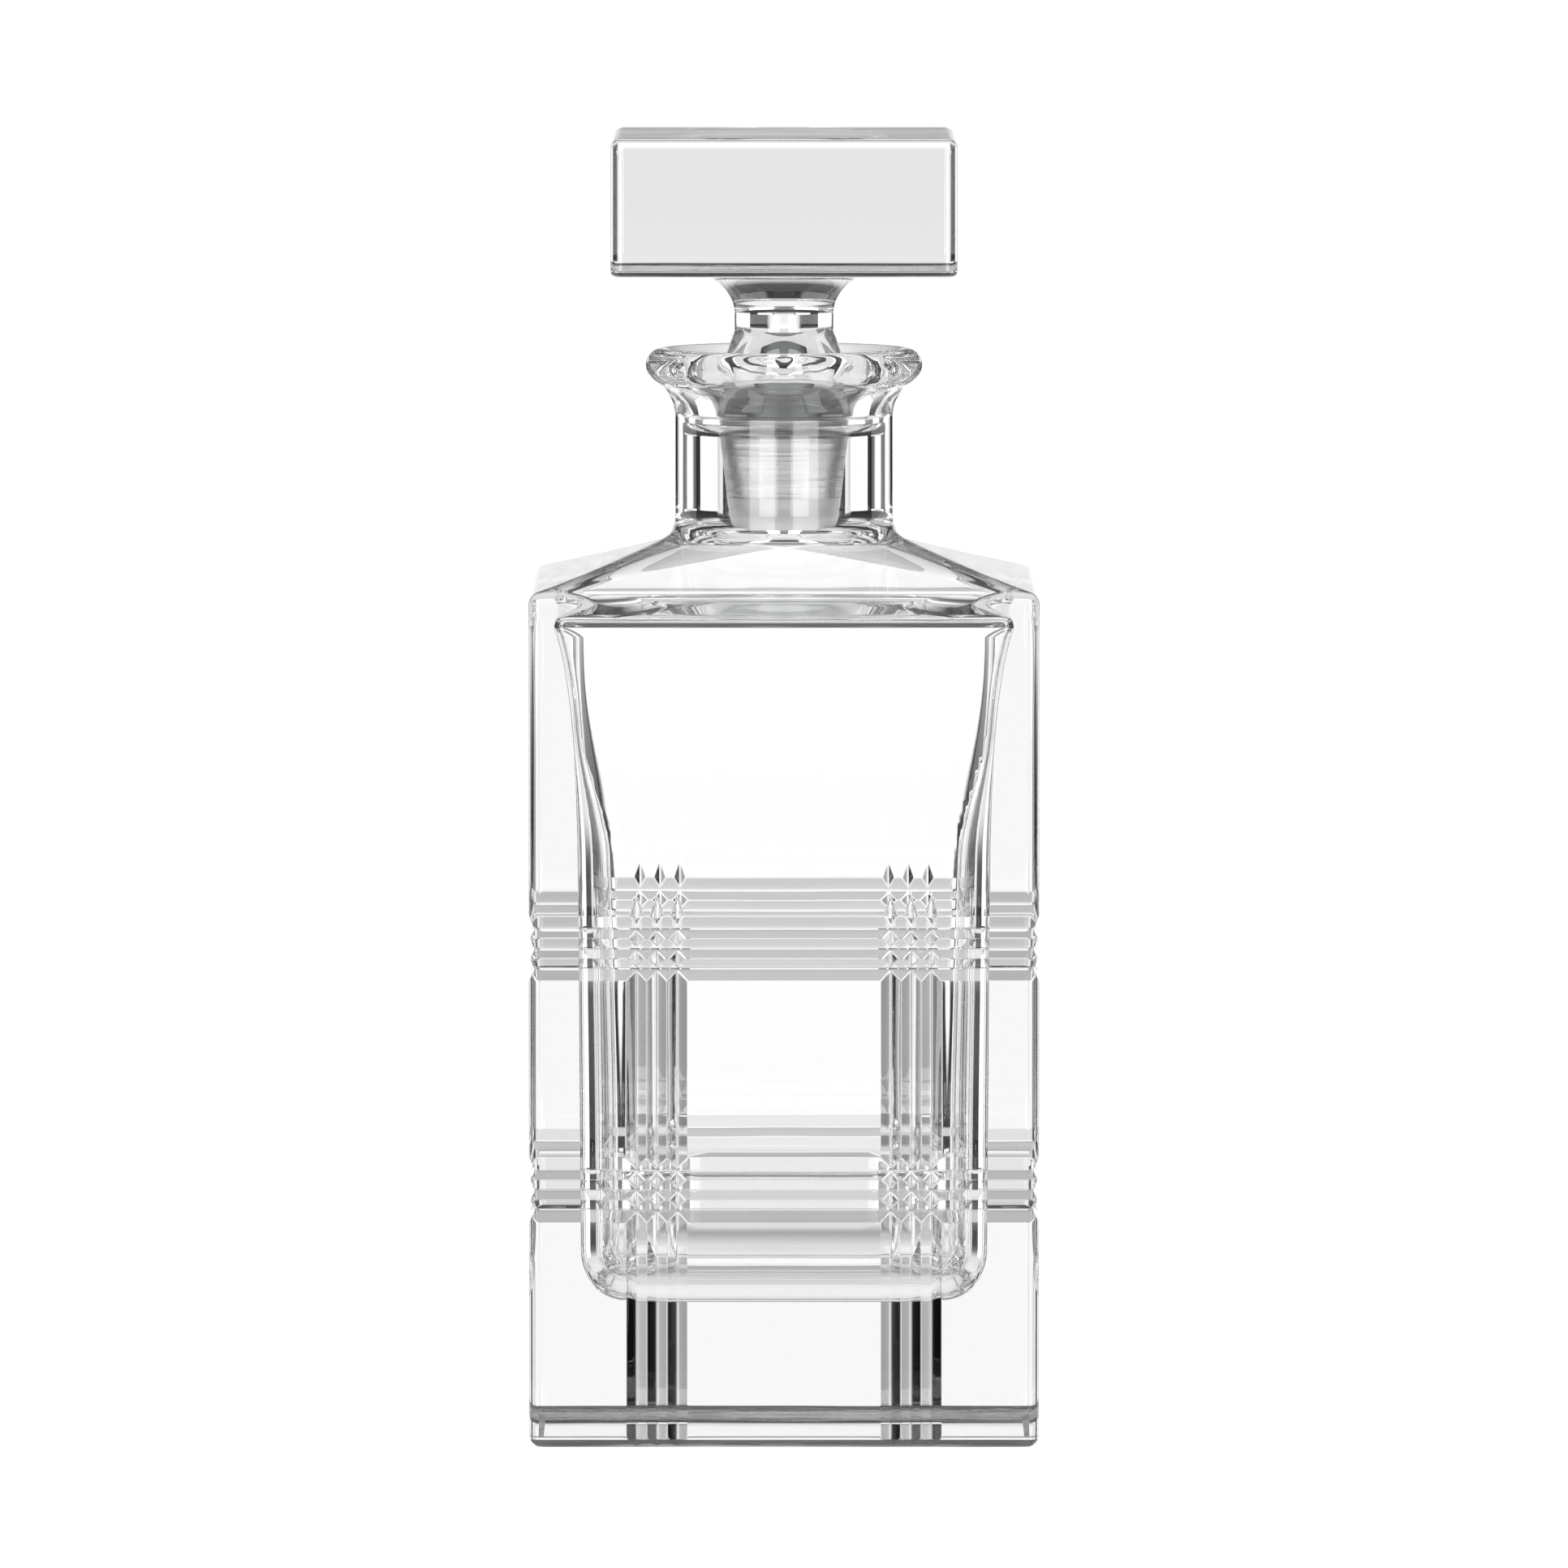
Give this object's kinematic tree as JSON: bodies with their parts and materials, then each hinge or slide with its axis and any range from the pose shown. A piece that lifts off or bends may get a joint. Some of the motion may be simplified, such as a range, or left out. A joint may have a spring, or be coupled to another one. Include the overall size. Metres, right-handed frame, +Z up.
{
  "type": "decanter",
  "caption": "Square cut-crystal decanter with level and upright mitre cuts, a round neck and a square block stopper that lifts out of its ground seat.",
  "frame": {"origin": "centre of the flat base, on the surface the decanter stands on", "axes": "+Z up along the neck and the stopper; X and Y square to the four flat sides, which are alike"},
  "size_m": [0.094, 0.094, 0.241],
  "materials": {
    "vessel_crystal": "polished clear crystal, with cut and polished mitres",
    "stopper_crystal": "polished clear crystal with a finely ground plug"
  },
  "bodies": {
    "decanter": {"decanter_body": "vessel_crystal"},
    "stopper": {"stopper": "stopper_crystal"}
  },
  "joints": [
    {"name": "stopper_lift", "type": "slide", "parent": "decanter", "child": "stopper", "axis": [0, 0, 1], "range_m": [0, 0.07]}
  ]
}
